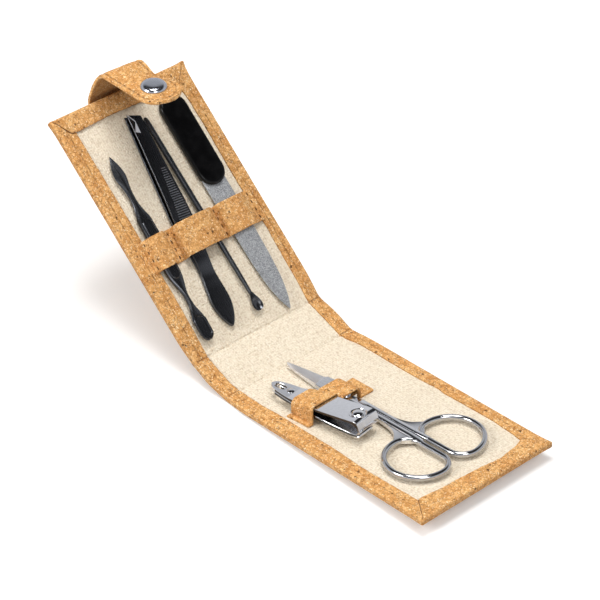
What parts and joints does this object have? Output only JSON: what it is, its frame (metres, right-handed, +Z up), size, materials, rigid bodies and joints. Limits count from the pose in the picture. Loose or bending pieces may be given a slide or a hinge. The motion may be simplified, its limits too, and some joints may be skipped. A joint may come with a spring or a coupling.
{
  "type": "manicure set case",
  "caption": "Folding cork case with woven lining, snap tab and straps holding cuticle pusher, tweezers, ear pick, nail file, scissors and nail clipper.",
  "frame": {"origin": "under the middle of the whole object as it stands half open, on the surface it stands on", "axes": "+Z up, +X across the case to the right as seen from its free front end, -Y towards the free end of the front section, +Y towards the back section"},
  "size_m": [0.07, 0.222, 0.1026],
  "materials": {
    "cork_cloth": "matte",
    "woven_lining": "matte",
    "card": "matte",
    "dark_steel": "satin",
    "file_steel": "satin",
    "bright_steel": "polished",
    "snap_metal": "satin",
    "black_handle": "gloss"
  },
  "bodies": {
    "front_section": {"front_cork_cover": "cork_cloth", "front_board": "card", "front_lining": "woven_lining", "front_tool_strap": "cork_cloth", "snap_stud": "snap_metal", "snap_stud_rivet": "snap_metal"},
    "spine_section": {"spine_cork_cover": "cork_cloth", "spine_board": "card", "spine_lining": "woven_lining"},
    "back_section": {"back_cork_cover": "cork_cloth", "back_board": "card", "back_lining": "woven_lining", "back_tool_strap": "cork_cloth", "tab_patch": "cork_cloth"},
    "tab_bridge": {"tab_bridge": "cork_cloth"},
    "tab_flap": {"tab_flap": "cork_cloth", "snap_cap": "snap_metal", "snap_socket": "snap_metal"},
    "cuticle_pusher": {"cuticle_pusher": "dark_steel"},
    "tweezers": {"tweezers_lower_arm": "dark_steel"},
    "tweezers_upper_arm": {"tweezers_upper_arm": "dark_steel"},
    "ear_pick": {"ear_pick": "dark_steel"},
    "nail_file": {"nail_file_blade": "file_steel", "nail_file_handle": "black_handle"},
    "scissors": {"scissors_left_half": "bright_steel", "scissors_screw": "bright_steel"},
    "scissors_right_half": {"scissors_right_half": "bright_steel"},
    "nail_clipper": {"clipper_lower_leaf": "bright_steel", "clipper_rivet": "bright_steel"},
    "clipper_jaw": {"clipper_upper_leaf": "bright_steel", "clipper_post": "bright_steel"},
    "clipper_lever": {"clipper_lever": "bright_steel"}
  },
  "joints": [
    {"name": "spine_fold", "type": "hinge", "parent": "front_section", "child": "spine_section", "pos_m": [0, 0.00158, 0.00284], "axis": [-1, 0, 0], "range_deg": [-71.68, 16.6]},
    {"name": "back_fold", "type": "hinge", "parent": "spine_section", "child": "back_section", "pos_m": [0, 0.0208, 0.00905], "axis": [-1, 0, 0], "range_deg": [-69.06, 23.2]},
    {"name": "tab_root_bend", "type": "hinge", "parent": "back_section", "child": "tab_bridge", "pos_m": [-0.003, 0.1102, 0.08226], "axis": [-1, 0, 0], "range_deg": [0, 80]},
    {"name": "tab_crest_bend", "type": "hinge", "parent": "tab_bridge", "child": "tab_flap", "pos_m": [-0.003, 0.09982, 0.0998], "axis": [-1, 0, 0], "range_deg": [-35.48, 59]},
    {"name": "pusher_slide", "type": "slide", "parent": "back_section", "child": "cuticle_pusher", "axis": [0.0349, 0.7531, 0.657], "range_m": [0, 0.05]},
    {"name": "tweezers_slide", "type": "slide", "parent": "back_section", "child": "tweezers", "axis": [0.0906, 0.7505, 0.6547], "range_m": [0, 0.009]},
    {"name": "tweezers_squeeze", "type": "hinge", "parent": "tweezers", "child": "tweezers_upper_arm", "pos_m": [-0.00877, 0.03832, 0.02566], "axis": [-0.9959, 0.0683, 0.0596], "range_deg": [0, 1.1], "stiffness_Nm_per_rad": 2},
    {"name": "ear_pick_slide", "type": "slide", "parent": "back_section", "child": "ear_pick", "axis": [-0.0105, 0.7535, 0.6573], "range_m": [0, 0.009]},
    {"name": "file_slide", "type": "slide", "parent": "back_section", "child": "nail_file", "axis": [0, 0.7536, 0.6574], "range_m": [0, 0.054]},
    {"name": "scissors_slide", "type": "slide", "parent": "front_section", "child": "scissors", "axis": [0.0279, -0.9985, 0.0468], "range_m": [0, 0.042]},
    {"name": "scissors_open", "type": "hinge", "parent": "scissors", "child": "scissors_right_half", "pos_m": [-0.0023, -0.03382, 0.0058], "axis": [0, 0.0468, 0.9989], "range_deg": [0, 8]},
    {"name": "clipper_slide", "type": "slide", "parent": "front_section", "child": "nail_clipper", "axis": [0.1253, -0.991, 0.0465], "range_m": [0, 0.009]},
    {"name": "clipper_squeeze", "type": "hinge", "parent": "nail_clipper", "child": "clipper_jaw", "pos_m": [-0.01806, -0.02101, 0.00796], "axis": [0.9921, 0.1252, -0.0059], "range_deg": [0, 1.4], "stiffness_Nm_per_rad": 4},
    {"name": "clipper_lever_swing", "type": "hinge", "parent": "nail_clipper", "child": "clipper_lever", "pos_m": [-0.01396, -0.05353, 0.00693], "axis": [-0.9921, -0.1252, 0.0059], "range_deg": [0, 2.2]}
  ]
}
